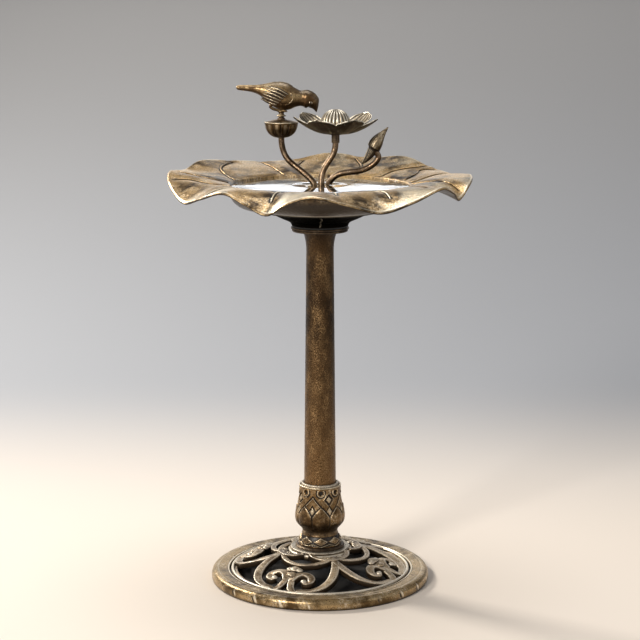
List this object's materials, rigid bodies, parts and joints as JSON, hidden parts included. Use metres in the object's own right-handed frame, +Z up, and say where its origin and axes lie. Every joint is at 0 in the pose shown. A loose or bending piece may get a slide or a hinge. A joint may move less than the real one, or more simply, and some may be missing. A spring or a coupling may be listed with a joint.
{
  "type": "garden bird bath",
  "caption": "Free-standing bird bath: openwork scroll base, tapered column, lotus-leaf bowl, and a bird, flower and bud ornament.",
  "frame": {"origin": "centre of the base's underside, on the ground", "axes": "+Z up along the column, the front faces -Y, +X to the right seen from the front"},
  "size_m": [0.4219, 0.4225, 0.7096],
  "materials": {
    "plate_steel": "black primer",
    "cast_bronze": "antique bronze, dark patina with rubbed highlights",
    "scroll_bronze": "pale antique bronze, rubbed",
    "dark_bronze": "dark antique bronze",
    "column_bronze": "mottled antique bronze",
    "leaf_bronze": "gold-brown antique bronze, satin",
    "stem_bronze": "dark brown patina, worn along the edges",
    "ornament_bronze": "antique bronze, pale ribs over a dark ground",
    "bird_bronze": "antique bronze, satin",
    "brass_parts": "aged",
    "rod_steel": "zinc plated",
    "screw_steel": "zinc plated",
    "nylon": "black nylon",
    "gasket_rubber": "matt"
  },
  "bodies": {
    "stand": {"base_plate": "plate_steel", "base_rim": "cast_bronze", "base_screws": "screw_steel", "scroll_panel": "scroll_bronze", "hub_ring": "scroll_bronze", "collar_seat_step": "dark_bronze", "collar": "cast_bronze", "collar_trim_ring": "cast_bronze", "column": "column_bronze", "column_head": "dark_bronze", "tie_rod": "rod_steel", "lower_rod_washer": "rod_steel", "lower_rod_nut": "rod_steel", "upper_rod_washer": "rod_steel", "upper_rod_nut": "rod_steel"},
    "seat": {"nylon_seat_ring": "nylon"},
    "bowl": {"bowl_foot": "leaf_bronze", "leaf_bowl": "leaf_bronze", "bowl_gasket": "gasket_rubber", "ornament_foot": "brass_parts", "stud_washer": "rod_steel", "stud_nut": "rod_steel", "pod_stem": "stem_bronze", "seed_pod": "ornament_bronze", "bird_peg": "brass_parts", "flower_stem": "stem_bronze", "flower_ferrule": "stem_bronze", "flower_petals": "ornament_bronze", "flower_screw": "brass_parts", "seed_dome": "ornament_bronze", "bud_stem": "stem_bronze", "leaf_bud": "ornament_bronze"},
    "bird": {"bird": "bird_bronze"}
  },
  "joints": [
    {"name": "bowl_turn", "type": "hinge", "parent": "stand", "child": "seat", "pos_m": [0, 0, 0.5095], "axis": [0, 0, 1], "continuous": true},
    {"name": "bowl_lift", "type": "slide", "parent": "seat", "child": "bowl", "axis": [0, 0, 1], "range_m": [0, 0.06]},
    {"name": "bird_turn", "type": "hinge", "parent": "bowl", "child": "bird", "pos_m": [-0.054, 0.022, 0.667], "axis": [0, 0, 1], "continuous": true}
  ]
}
